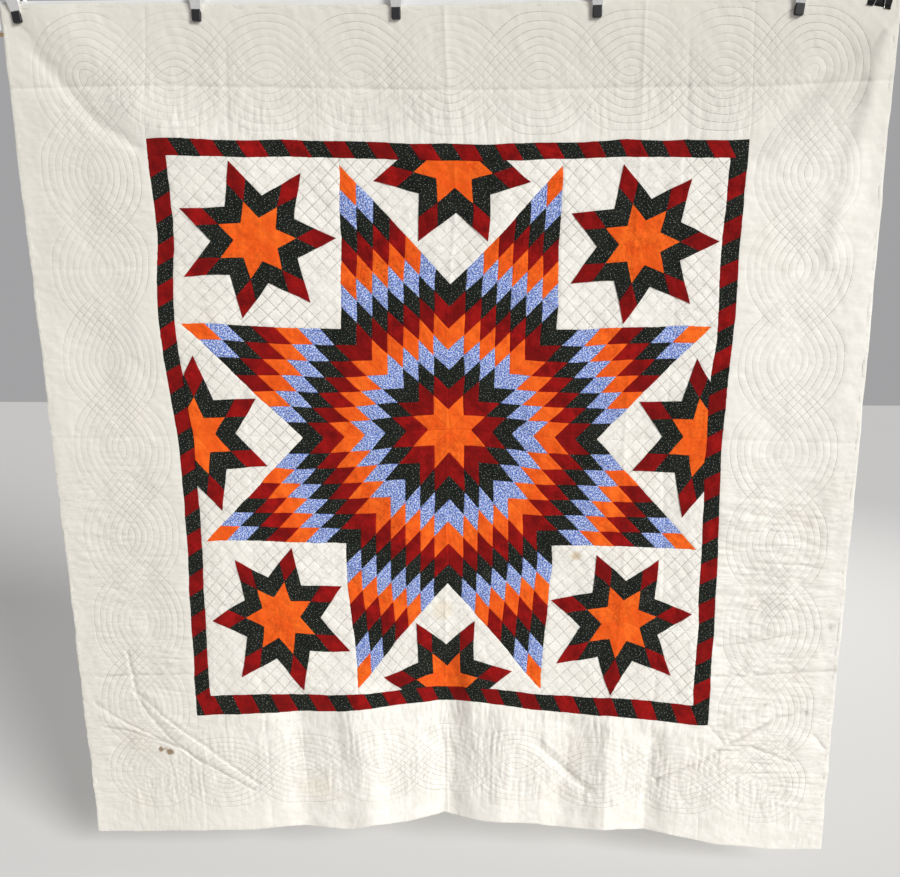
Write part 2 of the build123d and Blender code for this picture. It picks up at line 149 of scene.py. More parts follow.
def make_stage():
    """A plain pale floor, soft lights and an even pale surround."""
    bpy.ops.mesh.primitive_plane_add(size=FLOOR_SIZE, location=(0, 0, cad_bounds[0][2] - FLOOR_DROP))
    floor = bpy.context.object
    floor.name = "floor"
    shade = Shade("floor")
    shade.surface(colour=(0.72, 0.71, 0.69), roughness=0.8)
    floor.data.materials.append(shade.material)
    make_lights()
    world = bpy.data.worlds.new("surround")
    world.use_nodes = True
    background = world.node_tree.nodes["Background"]
    background.inputs["Color"].default_value = SURROUND
    background.inputs["Strength"].default_value = SURROUND_STRENGTH
    scene.world = world
    scene.view_settings.view_transform = "Standard"


# ---- shader building ----


class Shade:
    """One node material. Each call adds a node and gives back its output socket."""

    def __init__(self, name):
        self.material = bpy.data.materials.new(name)
        self.material.use_nodes = True
        self.tree = self.material.node_tree
        self.bsdf = self.tree.nodes["Principled BSDF"]

    def put(self, socket, value):
        if isinstance(value, bpy.types.NodeSocket):
            self.tree.links.new(value, socket)
        elif isinstance(value, (tuple, list)) and len(value) == 3 and socket.type == "RGBA":
            socket.default_value = (*value, 1)
        else:
            socket.default_value = value

    def add(self, kind, inputs=(), output=0, **settings):
        node = self.tree.nodes.new("ShaderNode" + kind)
        for name, value in settings.items():
            setattr(node, name, value)
        for key, value in dict(inputs).items():
            self.put(node.inputs[key], value)
        return node.outputs[output]

    def math(self, operation, a, b=0.0):
        return self.add("Math", {0: a, 1: b}, operation=operation)

    def times(self, a, b):
        return self.math("MULTIPLY", a, b)

    def attribute(self, name, output="Fac"):
        return self.add("Attribute", output=output, attribute_name=name)

    def scaled(self, vector, scale, angle=0.0):
        """Coordinates stretched by scale, after a turn about the third axis."""
        turned = self.add("Mapping", {"Vector": vector, "Rotation": (0, 0, angle)})
        return self.add("Mapping", {"Vector": turned, "Scale": scale})

    def noise(self, vector, scale, detail=2.0, roughness=0.5, output="Fac"):
        inputs = {"Vector": vector, "Scale": scale, "Detail": detail, "Roughness": roughness}
        return self.add("TexNoise", inputs, output)

    def distance(self, vector, place):
        offset = self.add("VectorMath", {0: vector, 1: place}, "Vector", operation="SUBTRACT")
        return self.add("VectorMath", {0: offset}, "Value", operation="LENGTH")

    def split(self, vector):
        """The first two parts of a vector."""
        node = self.tree.nodes.new("ShaderNodeSeparateXYZ")
        self.tree.links.new(vector, node.inputs[0])
        return node.outputs[0], node.outputs[1]

    def step(self, value, low, high, to_low=0.0, to_high=1.0):
        """Smoothly from to_low at low to to_high at high."""
        inputs = {"Value": value, "From Min": low, "From Max": high}
        inputs |= {"To Min": to_low, "To Max": to_high}
        return self.add("MapRange", inputs, interpolation_type="SMOOTHSTEP")

    def mix(self, share, first, second):
        """The first colour where share is 0, the second where it is 1."""
        node = self.tree.nodes.new("ShaderNodeMix")
        node.data_type = "RGBA"
        self.put(node.inputs["Factor"], share)
        self.put(node.inputs[6], first)
        self.put(node.inputs[7], second)
        return node.outputs[2]

    def bump(self, height, distance, strength):
        inputs = {"Height": height, "Distance": distance, "Strength": strength}
        return self.add("Bump", inputs, "Normal")

    def surface(self, colour=None, roughness=None, metallic=None, normal=None, **others):
        """Sets the sockets that are given. Others are named as sheen_weight is for Sheen Weight."""
        named = {"Base Color": colour, "Roughness": roughness, "Metallic": metallic, "Normal": normal}
        for key, value in others.items():
            named[key.replace("_", " ").title().replace("Ior", "IOR")] = value
        for name, value in named.items():
            if value is not None:
                self.put(self.bsdf.inputs[name], value)
        return self.material


# ---- cotton ----

THREAD = 0.62 * MM
# in mm, as the bump's distance is
THREAD_HEIGHT = 0.02
SLUB_RATES = (160, 1500)
COARSE_THREAD_RATES = (500, 2600, 1)
COARSE_THREAD_SHADE = 0.12
# how many to a metre: blotches of dye, stretches of deeper stitching with stronger painted shade in their lines,
# patches of fine creases with painted shade
DYE_RATE, PULL_RATE, PATCHY_RATE = 26, 6.0, 9.0
LINE_STEP = 15.7 * MM
HATCH_STEP = 24.5 * MM
DASH = 2.6 * MM
# the pin dots' spacing, and where their rim starts and ends, in spacings
DOT_STEP = 7.2 * MM
DOT_RIM = (0.06, 0.11)
DOT_STRENGTH = 0.62
# how many to a metre: the dark print's mottle, the blue print's deep patches and its pale sprigs
MOTTLE_RATE, DEEP_RATE, SPRIG_RATE = 420, 320, 290
# half of a stitched line's width, in line steps
LINE_WIDTH = 0.062
SEAM_SHADE = 0.14
# how far in from its edge a seam's painted shade is full, and where it is gone
SEAM_SHADE_REACH = (0.2 * MM, 1.8 * MM)
# the finest wrinkles: how many to a metre across them and along them
WRINKLE_RATES = (72, 20)
WRINKLE_HEIGHT = 4.0
CREASE_SHADE = 0.5
OLD_FOLD_SHADE = 0.42


def weave(shade, flat):
    """The height of plain-woven threads and slubs."""
    across, up = shade.split(flat)
    rate = math.pi / THREAD
    warp = shade.math("SINE", shade.times(across, rate))
    weft = shade.math("SINE", shade.times(up, rate))
    long, short = SLUB_RATES
    slubs = [shade.noise(shade.scaled(flat, (a, b, 1)), 1.0) for a, b in ((long, short), (short, long))]
    return shade.math("ADD", shade.times(warp, weft), shade.math("ADD", *slubs))


def stitch_line(shade, attribute):
    """1 on the stitched lines where the attribute passes a whole number, 0 between them."""
    phase = shade.attribute(attribute)
    shifted = shade.math("ADD", phase, 0.5)
    gap = shade.math("ABSOLUTE", shade.math("SUBTRACT", shade.math("FRACT", shifted), 0.5))
    return shade.step(gap, LINE_WIDTH * 0.35, LINE_WIDTH, 1.0, 0.0)


def fine_wrinkles(shade, flat):
    """The height of the finest wrinkles and the painted shade along their valleys."""
    standing, crumple = shade.attribute("standing"), shade.attribute("crumple")
    across, along = WRINKLE_RATES
    heights, valleys = [], []
    for rates in ((along, across, 1), (across, along, 1)):
        wrinkle = shade.noise(shade.scaled(flat, rates), 1.0, 3.0, 0.55)
        fold = shade.math("ABSOLUTE", shade.math("SUBTRACT", wrinkle, 0.5))
        heights.append(shade.times(fold, WRINKLE_HEIGHT))
        valleys.append(shade.step(fold, 0.0, 0.035, CREASE_SHADE, 0.0))
    mixed = []
    for level, upward in (heights, valleys):
        share = shade.times(shade.math("SUBTRACT", upward, level), standing)
        mixed.append(shade.times(shade.math("ADD", level, share), crumple))
    return mixed


def darkened(colour, share):
    """A colour with this share of its brightness left."""
    return tuple(share * part for part in colour)


def dyed(shade, flat, sheet, colour, dark, print_and_shade):
    """The cloth's uneven dye, its print (on muslin, instead: painted shade, washes and any stains) and its coarser
    threads.
    """
    blotches = shade.step(shade.noise(sheet, DYE_RATE, 3.0), 0.3, 0.7)
    base = shade.mix(blotches, colour, dark)
    base = shade.mix(shade.attribute("tint"), base, dark)
    if print_and_shade:
        base = print_and_shade(shade, flat, base)
    coarse = shade.noise(shade.scaled(flat, COARSE_THREAD_RATES), 1.0, 1.0)
    return shade.mix(shade.step(coarse, 0.35, 0.75, 0.0, COARSE_THREAD_SHADE), base, dark)


def stitched(shade, sheet, base, thread_and_shade, strength):
    """The stitched lines, in thread colour with the painted shade of their ditches: dashed, and in places pulled
    in deeper or worn away.
    """
    dashes = shade.step(shade.noise(sheet, 0.8 / DASH, 0.0), 0.3, 0.5, 0.25, 1.0)
    pulled = shade.step(shade.noise(sheet, PULL_RATE, 2.0), 0.35, 0.65, 0.35, 1.0)
    strength = shade.times(shade.times(dashes, pulled), strength)
    lines = shade.math("MAXIMUM", stitch_line(shade, "stitch_a"), stitch_line(shade, "stitch_b"))
    return shade.mix(shade.times(lines, strength), base, thread_and_shade)


def creases(shade, sheet, valleys):
    """How much painted shade the cloth's creases get: patches of fine ones, and the old sharp folds."""
    patchy = shade.step(shade.noise(sheet, PATCHY_RATE, 2.0), 0.36, 0.62, 0.25, 1.0)
    old_folds = shade.times(shade.attribute("crease"), OLD_FOLD_SHADE)
    return shade.math("ADD", shade.times(valleys, patchy), old_folds)


def cotton(name, colour, dark, thread_and_shade, print_and_shade, line_strength):
    """Quilted cotton: its dye and print, stitched lines, painted shade in its seams and creases, and weave."""
    shade = Shade(name)
    flat = shade.attribute("flat", "Vector")
    sheet = shade.attribute("sheet", "Vector")
    base = dyed(shade, flat, sheet, colour, dark, print_and_shade)
    base = stitched(shade, sheet, base, thread_and_shade, line_strength)
    # painted shade in the seams, full at a patch's very edge
    wear_and_shade = shade.step(shade.attribute("edge"), *SEAM_SHADE_REACH, SEAM_SHADE, 0.0)
    base = shade.mix(wear_and_shade, base, darkened(dark, 0.5))
    wrinkles, valleys = fine_wrinkles(shade, flat)
    # painted shade in the wrinkles' valleys and along the old sharp folds
    base = shade.mix(creases(shade, sheet, valleys), base, darkened(dark, 0.35))
    threads = shade.times(weave(shade, flat), THREAD_HEIGHT)
    normal = shade.bump(shade.math("ADD", wrinkles, threads), MM, 1.0)
    soft = {"sheen_weight": 0.03, "sheen_roughness": 0.5, "specular_ior_level": 0.1}
    return shade.surface(base, 0.92, 0.0, normal, **soft)


def speckled(shade, flat, base):
    """Pin dots of pale yellow, white and green, and a faint green mottle."""
    mottle = shade.step(shade.noise(flat, MOTTLE_RATE, 2.0), 0.5, 0.72, 0.0, 0.5)
    base = shade.mix(mottle, base, (0.034, 0.052, 0.038))
    inputs = {"Vector": flat, "Scale": 1 / DOT_STEP, "Randomness": 0.8}
    distance = shade.add("TexVoronoi", inputs, "Distance", voronoi_dimensions="2D")
    dot = shade.step(distance, *DOT_RIM, DOT_STRENGTH, 0.0)
    pick = shade.add("ValToRGB", {"Fac": shade.split(distance.node.outputs["Color"])[0]})
    ramp = pick.node.color_ramp
    ramp.interpolation = "CONSTANT"
    ramp.elements[0].color = (0.72, 0.74, 0.56, 1)
    ramp.elements[1].position = 0.3
    ramp.elements[1].color = (0.24, 0.40, 0.20, 1)
    for position, colour in ((0.5, (0.80, 0.80, 0.74, 1)), (0.75, (0.42, 0.40, 0.20, 1))):
        ramp.elements.new(position).color = colour
    return shade.mix(dot, base, pick)


def mottled(shade, flat, base):
    """A small all-over print of white sprigs and deeper blue on light blue."""
    deep = shade.step(shade.noise(flat, DEEP_RATE, 2.0, 0.6), 0.49, 0.54)
    base = shade.mix(deep, base, (0.045, 0.090, 0.37))
    turned = shade.scaled(flat, (SPRIG_RATE, SPRIG_RATE, 1), 0.9)
    pale = shade.step(shade.noise(turned, 1.0, 2.0, 0.6), 0.51, 0.56)
    return shade.mix(pale, base, (0.66, 0.72, 0.84))


STAINS = (
    # across, up, size, colour, strength: an old brown spot pair, a tan ring and pale washes
    (-0.768, -0.811, 0.010, (0.20, 0.11, 0.035), 0.85),
    (-0.744, -0.818, 0.013, (0.20, 0.11, 0.035), 0.9),
    (-0.755, -0.807, 0.006, (0.26, 0.15, 0.05), 0.6),
    (0.310, -0.294, 0.014, (0.62, 0.47, 0.27), 0.75),
    (-0.015, -0.446, 0.034, (0.74, 0.62, 0.42), 0.45),
    (-0.37, -0.96, 0.05, (0.76, 0.66, 0.44), 0.22),
    (-0.60, 0.30, 0.10, (0.78, 0.70, 0.55), 0.12),
    (0.29, -0.98, 0.04, (0.76, 0.66, 0.46), 0.14),
)


def shaded_and_aged(shade, flat, base):
    """Muslin: darker along the top, with painted shade down the left, away from the light, and lighter to the
    right; and faint washes.
    """
    across, up = shade.split(flat)
    dull_top = shade.step(up, FRAME_V * 0.85, TOP * 0.9, 0.0, 1.0)
    painted_shade_left = shade.step(across, -FIELD * 0.5, -SIDE * 0.85, 0.0, 0.85)
    # darkens the top and, as painted shade, the left side
    base = shade.mix(shade.math("MAXIMUM", dull_top, painted_shade_left), base, (0.70, 0.675, 0.605))
    wash = shade.step(shade.noise(flat, 3.2, 3.0, 0.6), 0.52, 0.78, 0.0, 0.25)
    return shade.mix(wash, base, (0.80, 0.74, 0.62))


def stained(shade, flat, base):
    """Muslin with its darker top, painted shade down the left and faint washes, and a few old stains."""
    base = shaded_and_aged(shade, flat, base)
    fray = shade.noise(flat, 150, 2.0)
    for across, rise, size, colour, strength in STAINS:
        distance = shade.distance(flat, (across, rise, 0))
        frayed = shade.times(distance, shade.math("ADD", 0.45, fray))
        spot = shade.step(frayed, size * 0.45, size, strength, 0.0)
        base = shade.mix(spot, base, colour)
    return base


# each cloth's colour, its darker colour, and its stitched lines' colour: thread colour with the painted shade of
# their ditches
MUSLIN_COLOURS = ((0.88, 0.855, 0.79), (0.82, 0.79, 0.72), (0.40, 0.37, 0.33))
BACKING_COLOURS = ((0.80, 0.77, 0.70), (0.73, 0.69, 0.61), (0.40, 0.37, 0.33))
ORANGES = ((0.96, 0.165, 0.016), (0.80, 0.095, 0.009), (0.45, 0.05, 0.01))
REDS = ((0.35, 0.007, 0.006), (0.17, 0.004, 0.004), (0.07, 0.003, 0.005))
GREENS = ((0.015, 0.0165, 0.0135), (0.008, 0.0095, 0.008), (0.004, 0.005, 0.005))
BLUES = ((0.19, 0.295, 0.70), (0.16, 0.25, 0.64), (0.10, 0.14, 0.35))
# slot, material, colours, print (for the muslins: painted shade and washes, with stains on the front and binding),
# and how strong the stitched lines are
COTTONS = (
    ("muslin_white", "muslin", MUSLIN_COLOURS, stained, 0.85),
    ("cotton_orange", "orange_cotton", ORANGES, None, 0.5),
    ("cotton_red", "red_cotton", REDS, None, 0.5),
    ("cotton_dark_green", "dark_green_cotton", GREENS, speckled, 0.3),
    ("cotton_blue", "blue_cotton", BLUES, mottled, 0.2),
    ("binding", "binding_cotton", MUSLIN_COLOURS, stained, 0.0),
    ("backing", "backing_muslin", BACKING_COLOURS, shaded_and_aged, 0.6),
)


def make_cottons():
    """Every cloth's material, by its slot."""
    return {slot: cotton(name, *colours, *rest) for slot, name, colours, *rest in COTTONS}


# ---- smooth noise ----


def noise(x, y, seed):
    """Smooth noise from -1 to 1, about one bump to a unit. Each seed gives another pattern."""
    column, row = np.floor(x), np.floor(y)
    right, up = x - column, y - row
    right = right * right * (3 - 2 * right)
    up = up * up * (3 - 2 * up)

    def corner(a, b):
        # a well-mixed number for each whole place
        mixed = np.sin(a * 127.1 + b * 311.7 + seed * 74.7) * 43758.5453
        return 2 * (mixed - np.floor(mixed)) - 1

    low = corner(column, row) * (1 - right) + corner(column + 1, row) * right
    high = corner(column, row + 1) * (1 - right) + corner(column + 1, row + 1) * right
    return low * (1 - up) + high * up


def ease(value, low, high):
    """0 below low, 1 above high, and smooth between them."""
    share = np.clip((value - low) / (high - low), 0, 1)
    return share * share * (3 - 2 * share)


def rise(value, low, high, least):
    """As ease, but from least instead of 0."""
    return least + (1 - least) * ease(value, low, high)


# ---- how the quilt hangs ----

# flat heights, and where they hang in the quilt's middle and towards its sides
FLAT_HEIGHTS = (-FRAME_V, -FIELD_V, 0.0, FIELD_V, FRAME_V, TOP)
MIDDLE_LIFT = (0.004, 0.003, 0.0, -0.014, -0.020, -0.010)
SIDE_LIFT = (-0.050, -0.036, 0.0, -0.004, -0.007, 0.0)
SAG_REACH = 0.75
# the hem from its left corner to its right one: across, and up from the star's middle
HEM_DIPS = (
    (-0.960, -1.099), (-0.540, -1.085), (-0.405, -1.066), (-0.284, -1.076), (-0.120, -1.045),
    (-0.019, -1.019), (0.020, -1.028), (0.118, -1.048), (0.260, -1.049), (0.423, -1.066),
    (0.527, -1.057), (0.708, -1.101), (0.843, -1.111), (0.985, -1.110),
)
# how far the sides lean over: at the hem, and at the top, for the left and the right side
LEFT_LEAN = (0.018, -0.013)
RIGHT_LEAN = (0.012, -0.007)
LEAN_FROM = 0.55
# low down the cloth is drawn in sideways, most at GATHER_AT from the middle
GATHER = 0.026
GATHER_AT = 0.24
# how far below the star's middle that starts and is full
GATHER_DEPTHS = (0.30, 0.62)
# how the threads wander within the cloth: distance, bumps to a metre, seed
WANDER = ((0.0024, 13, 11), (0.0009, 31, 13))

# folds: half width, height towards the viewer, and the flat places they run through
FOLDS = (
    # pulled from the top corners
    (0.018, -0.0048, (-0.936, 0.918), (-0.86, 0.824), (-0.772, 0.732), (-0.68, 0.676)),
    (0.055, 0.007, (-0.88, 0.965), (-0.6, 0.7)),
    (0.03, -0.008, (0.93, 0.93), (0.66, 0.67)),
    (0.026, 0.006, (0.95, 0.9), (0.87, 0.45)),
    # creases across the lower left corner
    (0.0055, -0.003, (-0.838, -0.54), (-0.822, -0.648), (-0.768, -0.685), (-0.648, -0.798),
     (-0.518, -0.936)),
    (0.005, -0.0022, (-0.831, -0.642), (-0.737, -0.777), (-0.689, -0.827), (-0.525, -0.959)),
    (0.02, 0.0024, (-0.79, -0.668), (-0.665, -0.812), (-0.54, -0.93)),
    (0.005, -0.0027, (-0.938, -0.673), (-0.843, -0.733), (-0.705, -0.813), (-0.66, -0.858)),
    (0.0045, -0.0026, (-0.924, -0.74), (-0.864, -0.747), (-0.727, -0.798)),
    (0.014, 0.002, (-0.92, -0.712), (-0.78, -0.78)),
    (0.0045, -0.0022, (-0.927, -0.605), (-0.687, -0.594)),
    # creases in the lower right corner
    (0.0045, -0.0018, (0.661, -0.698), (0.705, -0.751)),
    (0.0055, -0.0044, (0.685, -0.775), (0.767, -0.762), (0.867, -0.807)),
    (0.005, -0.0032, (0.669, -0.706), (0.796, -0.653)),
    (0.006, -0.0042, (0.716, -0.747), (0.821, -0.68), (0.9, -0.669)),
    (0.008, -0.0048, (0.545, -0.905), (0.639, -0.828), (0.686, -0.782)),
    (0.006, -0.0018, (0.927, -0.724), (0.958, -0.767)),
    (0.014, -0.006, (0.245, -0.81), (0.375, -0.95)),
    (0.007, -0.0042, (0.669, -0.505), (0.94, -0.45)),
    (0.007, -0.004, (0.672, -0.58), (0.96, -0.56)),
    # upright folds running down to the hem
    (0.045, -0.013, (-0.405, -0.7), (-0.4, -1.12)),
    (0.05, 0.017, (-0.255, -0.68), (-0.235, -1.12)),
    (0.055, -0.023, (0.0, -0.62), (-0.004, -1.12)),
    (0.045, 0.008, (0.17, -0.74), (0.15, -1.12)),
    (0.036, -0.009, (0.33, -0.74), (0.31, -1.12)),
    (0.036, 0.011, (0.425, -0.74), (0.425, -1.12)),
    (0.036, -0.011, (0.53, -0.76), (0.53, -1.12)),
    (0.055, 0.0045, (0.69, -0.78), (0.72, -1.12)),
)
# storage creases, along which the quilt was folded: across or up, place, height
CREASES = (
    ("u", -0.004, 0.002),
    ("u", -0.487, -0.0014),
    ("u", 0.428, 0.0018),
    ("u", 0.525, -0.0018),
    ("v", 0.806, -0.0034),
    ("v", 0.4, -0.0012),
    ("v", 0.0, -0.0018),
    ("v", -0.43, -0.0014),
)
CREASE_REACH = 0.006
CREASE_DRIFT = 0.004
FOLD_UNEVENNESS = 0.25
# how far below the rail the cloth is free to sink back
BELOW_RAIL = 0.07
# slow waves of the cloth: height, bumps to a metre across and up, slant, seed
WAVES = (
    (0.0055, 3.1, 2.3, 0.0, 1),
    (0.0032, 7.3, 5.1, 0.4, 2),
    (0.0016, 17, 15, 0.0, 3),
)
WAVES_AT_TOP = 0.15

# where the piecing is out of true: a flat place, and how far it lies across and up from there
SHIFTS = (
    # the star's middle
    ((0.0, 0.0), (0.001, 0.0255)),
    # the small stars in the corners
    ((-0.44, 0.442), (-0.004, 0.0085)),
    ((0.438, 0.434), (0.0, 0.008)),
    ((-0.425, -0.438), (-0.012, 0.013)),
    ((0.429, -0.438), (0.0105, 0.0152)),
    # the half stars
    ((0.0, 0.56), (0.016, -0.002)),
    ((-0.58, 0.0), (0.0, 0.0055)),
    ((0.6, 0.0), (-0.008, 0.008)),
    ((0.0, -0.58), (-0.005, 0.005)),
    # the frame's corners
    ((-0.66, 0.7), (-0.0225, 0.003)),
    ((0.66, 0.7), (0.008, -0.007)),
    ((-0.66, -0.7), (-0.0055, 0.0)),
    ((0.66, -0.7), (0.007, -0.0065)),
    # the star's points, from the top down
    ((-0.257, 0.655), (0.005, 0.004)),
    ((0.257, 0.655), (0.0045, -0.001)),
    ((-0.62, 0.27), (-0.026, 0.0135)),
    ((0.62, 0.27), (0.0015, 0.008)),
    ((-0.62, -0.27), (0.004, 0.015)),
    ((0.62, -0.27), (0.0, 0.004)),
    ((-0.257, -0.655), (-0.0115, -0.015)),
    ((0.257, -0.655), (0.01, -0.006)),
)
SHIFT_REACH = 0.19
# how many lengths each of the quilt's edges is held in
EDGE_SHARES = 8
# folds narrower than this are sharp creases
SHARP_FOLD = 0.009
CREASE_WIDTH = 2.4 * MM


def shift_shares(u, v):
    """How strongly a point feels each place in SHIFT_PLACES."""
    gaps = [np.hypot(u - place[0], v - place[1]) for place in SHIFT_PLACES]
    return np.exp(-((np.stack(gaps, -1) / SHIFT_REACH) ** 2))


def creased(u, v):
    """1 along the sharp folds, where the cloth gets a line of painted shade, with breaks here and there."""
    gaps = [from_line(u, v, places) for width, _, *places in FOLDS if width < SHARP_FOLD]
    wear_and_shade = rise(noise(u * 45, v * 45, 62), -0.5, 0.4, 0.25)
    return wear_and_shade * np.exp(-((np.min(gaps, axis=0) / CREASE_WIDTH) ** 2))


def edge_places():
    """Places round the quilt's edge, which the shifts leave where they are."""
    across = np.linspace(-SIDE, SIDE, EDGE_SHARES + 1)
    up = np.linspace(HEM, TOP, EDGE_SHARES + 1)[1:-1]
    return [(a, b) for b in (HEM, TOP) for a in across] + [(a, b) for a in (-SIDE, SIDE) for b in up]


SHIFT_PLACES = [place for place, _ in SHIFTS] + edge_places()
SHIFT_MOVES = [move for _, move in SHIFTS] + [(0.0, 0.0)] * (len(SHIFT_PLACES) - len(SHIFTS))
SHIFT_WEIGHTS = np.linalg.solve(shift_shares(*np.transpose(SHIFT_PLACES)), SHIFT_MOVES)


def from_line(u, v, places):
    """The distance to a line that runs through several places."""
    nearest = np.full(np.shape(u), np.inf)
    for start, end in zip(places[:-1], places[1:]):
        run = np.subtract(end, start)
        across, up = u - start[0], v - start[1]
        along = np.clip((across * run[0] + up * run[1]) / (run @ run), 0, 1)
        nearest = np.minimum(nearest, np.hypot(across - along * run[0], up - along * run[1]))
    return nearest


def towards_viewer(u, v):
    """How far the hanging cloth stands out of its plane: folds, creases and slow waves."""
    out = sum(high * noise(u * a + slant * v, v * b, seed) for high, a, b, slant, seed in WAVES)
    out *= rise(TOP - v, 0.02, 0.30, WAVES_AT_TOP)
    for width, height, *places in FOLDS:
        wide = width * (1 + FOLD_UNEVENNESS * noise(u * 9, v * 9, 4))
        out += height * np.exp(-((from_line(u, v, places) / wide) ** 2))
    for way, place, height in CREASES:
        gap = (u if way == "u" else v) - place - CREASE_DRIFT * noise(u * 3, v * 3, 5)
        out += height * np.exp(-np.abs(gap) / CREASE_REACH)
    # the rail keeps the cloth from going back at the top
    return np.where(out < 0, out * ease(RAIL_LOW - v, 0.0, BELOW_RAIL), out)


def hang(u, v):
    """Flat places to places in space, for the cloth's front, before its quilting."""
    moved = shift_shares(u, v) @ SHIFT_WEIGHTS
    u = u + sum(far * noise(u * rate, v * rate, seed) for far, rate, seed in WANDER)
    v = v + sum(far * noise(u * rate, v * rate, seed + 1) for far, rate, seed in WANDER)
    out = towards_viewer(u, v)
    spread = ease(np.abs(u), 0.0, SAG_REACH)
    lift = np.interp(v, FLAT_HEIGHTS, MIDDLE_LIFT) * (1 - spread)
    lift += np.interp(v, FLAT_HEIGHTS, SIDE_LIFT) * spread
    below = np.clip((-FRAME_V - v) / (-FRAME_V - HEM), 0, 1)
    lift = lift * (1 - below) + (np.interp(u, *np.transpose(HEM_DIPS)) - HEM) * below
    low = ease(-v, *GATHER_DEPTHS)
    gather = GATHER * low * (np.abs(u) / GATHER_AT) * np.exp(0.5 - 0.5 * (u / GATHER_AT) ** 2)
    sideways = -np.sign(u) * gather
    height_share = (v - HEM) / (TOP - HEM)
    for way, lean in ((-1, LEFT_LEAN), (1, RIGHT_LEAN)):
        side = ease(way * u, LEAN_FROM, SIDE)
        sideways += side * (lean[0] + (lean[1] - lean[0]) * height_share)
    x = STAR_X + u + sideways + moved[:, 0]
    z = STAR_Z + v + lift + moved[:, 1]
    # what moves along the line of sight keeps its place in the view
    depth = FRONT_Y - out
    reach = (depth - EYE.y) / (FRONT_Y - EYE.y)
    return EYE.x + (x - EYE.x) * reach, depth, EYE.z + (z - EYE.z) * reach


# ---- quilting ----

CABLE_U = 0.800
CABLE_TOP_V = 0.836
CABLE_HEM_V = -0.893
CABLE_V = (CABLE_TOP_V - CABLE_HEM_V) / 2
CABLE_MIDDLE_V = (CABLE_TOP_V + CABLE_HEM_V) / 2
CABLE_UNITS = 8
CABLE_SWING = 65.0 * MM
# half of a strand's width, in line steps: eight lines lie within it
CABLE_LINES = 3.92
# how far hand stitching strays from the pattern
CABLE_DRIFT = 3.0 * MM
HATCH_DRIFT = 2.0 * MM
NO_LINE = 0.5
# how near the borders' mitres their wrinkles turn
TURN_REACH = 0.03
# how strong the borders' puckers are, and by how much more in places
PUCKER_LEAST, PUCKER_LOW, PUCKER_LOW_RIGHT, PUCKER_ABOVE = 0.28, 0.62, 1.15, 0.55
PUCKER_UNEVENNESS = 0.35
# how near the quilt's sides, hem and top they fade: from, to, and the share that is left there
PUCKER_FADES = ((0.01, 0.08, 0.60), (0.03, 0.16, 0.30), (0.10, 0.22, 0.15))


def cable(u, v):
    """How many line steps a point is from the middle of each of the border's two strands."""
    u = u + CABLE_DRIFT * noise(u * 7, v * 7, 21)
    v = v + CABLE_DRIFT * noise(u * 7, v * 7, 22)
    p = np.abs(u) - CABLE_U
    q = np.abs(v - CABLE_MIDDLE_V) - CABLE_V
    along, across = -np.minimum(p, q), np.maximum(p, q)
    unit = np.where(q > p, CABLE_U, CABLE_V) * 2 / CABLE_UNITS
    turn = math.pi * along / unit
    slope = np.hypot(1, CABLE_SWING * math.pi / unit * np.sin(turn))
    strands = [(across - way * CABLE_SWING * np.cos(turn)) / slope for way in (1, -1)]
    corner = (p > 0) & (q > 0)
    strands[0] = np.where(corner, np.hypot(p, q) - CABLE_SWING, strands[0])
    strands[1] = np.where(corner, 1.0, strands[1])
    return [np.clip(strand / LINE_STEP, -CABLE_LINES, CABLE_LINES) + 0.5 for strand in strands]


def hatch(u, v):
    """The two ways of the crosshatch on the white cloth round the star."""
    u = u + HATCH_DRIFT * noise(u * 9, v * 9, 23)
    step = HATCH_STEP * math.sqrt(2)
    return [(u + way * v / STRETCH) / step for way in (1, -1)]


def ditch(phases, step, width):
    """1 on a stitched line, falling to 0 between the lines."""
    gaps = [np.abs(phase - np.round(phase)) * step for phase in phases]
    return np.exp(-((np.minimum(*gaps) / width) ** 2))


def upright(u, v):
    """1 in the borders above and below the field, 0 in those at its sides."""
    beyond = np.abs(v - CABLE_MIDDLE_V) - CABLE_V - (np.abs(u) - CABLE_U)
    return ease(beyond, -TURN_REACH, TURN_REACH)


def wrinkles(across, along, seed):
    """Long wrinkles with round tops and sharp valleys, which run the second way."""
    bend = 0.012 * noise(across * 6, along * 6, seed)
    broad = np.abs(noise((across + bend) * 64, along * 11, seed + 1))
    fine = np.abs(noise((across - bend) * 125, along * 25, seed + 2))
    return 1.2 * broad + 0.8 * fine - 0.6


def pucker_strength(u, v):
    """How wrinkled the borders are: hardly above, strongly low down and most on the right."""
    low = ease(-v, -0.10, 0.22)
    above = PUCKER_ABOVE * upright(u, v) * ease(v, 0.0, 0.1)
    low_right = ease(-v, 0.0, 0.22) * ease(u, 0.60, 0.72) * (1 - upright(u, v))
    strong = PUCKER_LEAST + PUCKER_LOW * np.maximum(low, above) + PUCKER_LOW_RIGHT * low_right
    for inside, fade in zip((SIDE - np.abs(u), v - HEM, TOP - v), PUCKER_FADES):
        strong *= rise(inside, *fade)
    return strong * (1 + PUCKER_UNEVENNESS * noise(u * 4, v * 4, 37))


def puckers(u, v):
    """Small wrinkles across the stitching: upright along the top and the hem, level at the sides."""
    share = upright(u, v)
    both = wrinkles(u, v, 31) * share + wrinkles(v, u, 51) * (1 - share)
    return both * pucker_strength(u, v)


def crumples(u, v):
    """Wrinkles every way, as in the closely quilted middle."""
    first = noise(u * 62 + v * 25, v * 30 - u * 9, 35)
    second = noise(v * 85 + u * 20, u * 38 - v * 12, 38)
    return first + 0.8 * second + 0.45 * noise(u * 140, v * 140, 36)


# ---- cloth meshes ----

FINE = 3.0 * MM
PATCH_FINE = 2.7 * MM
BACK_FINE = 10 * MM
COARSE = 1
SKIRT = 1.6 * MM
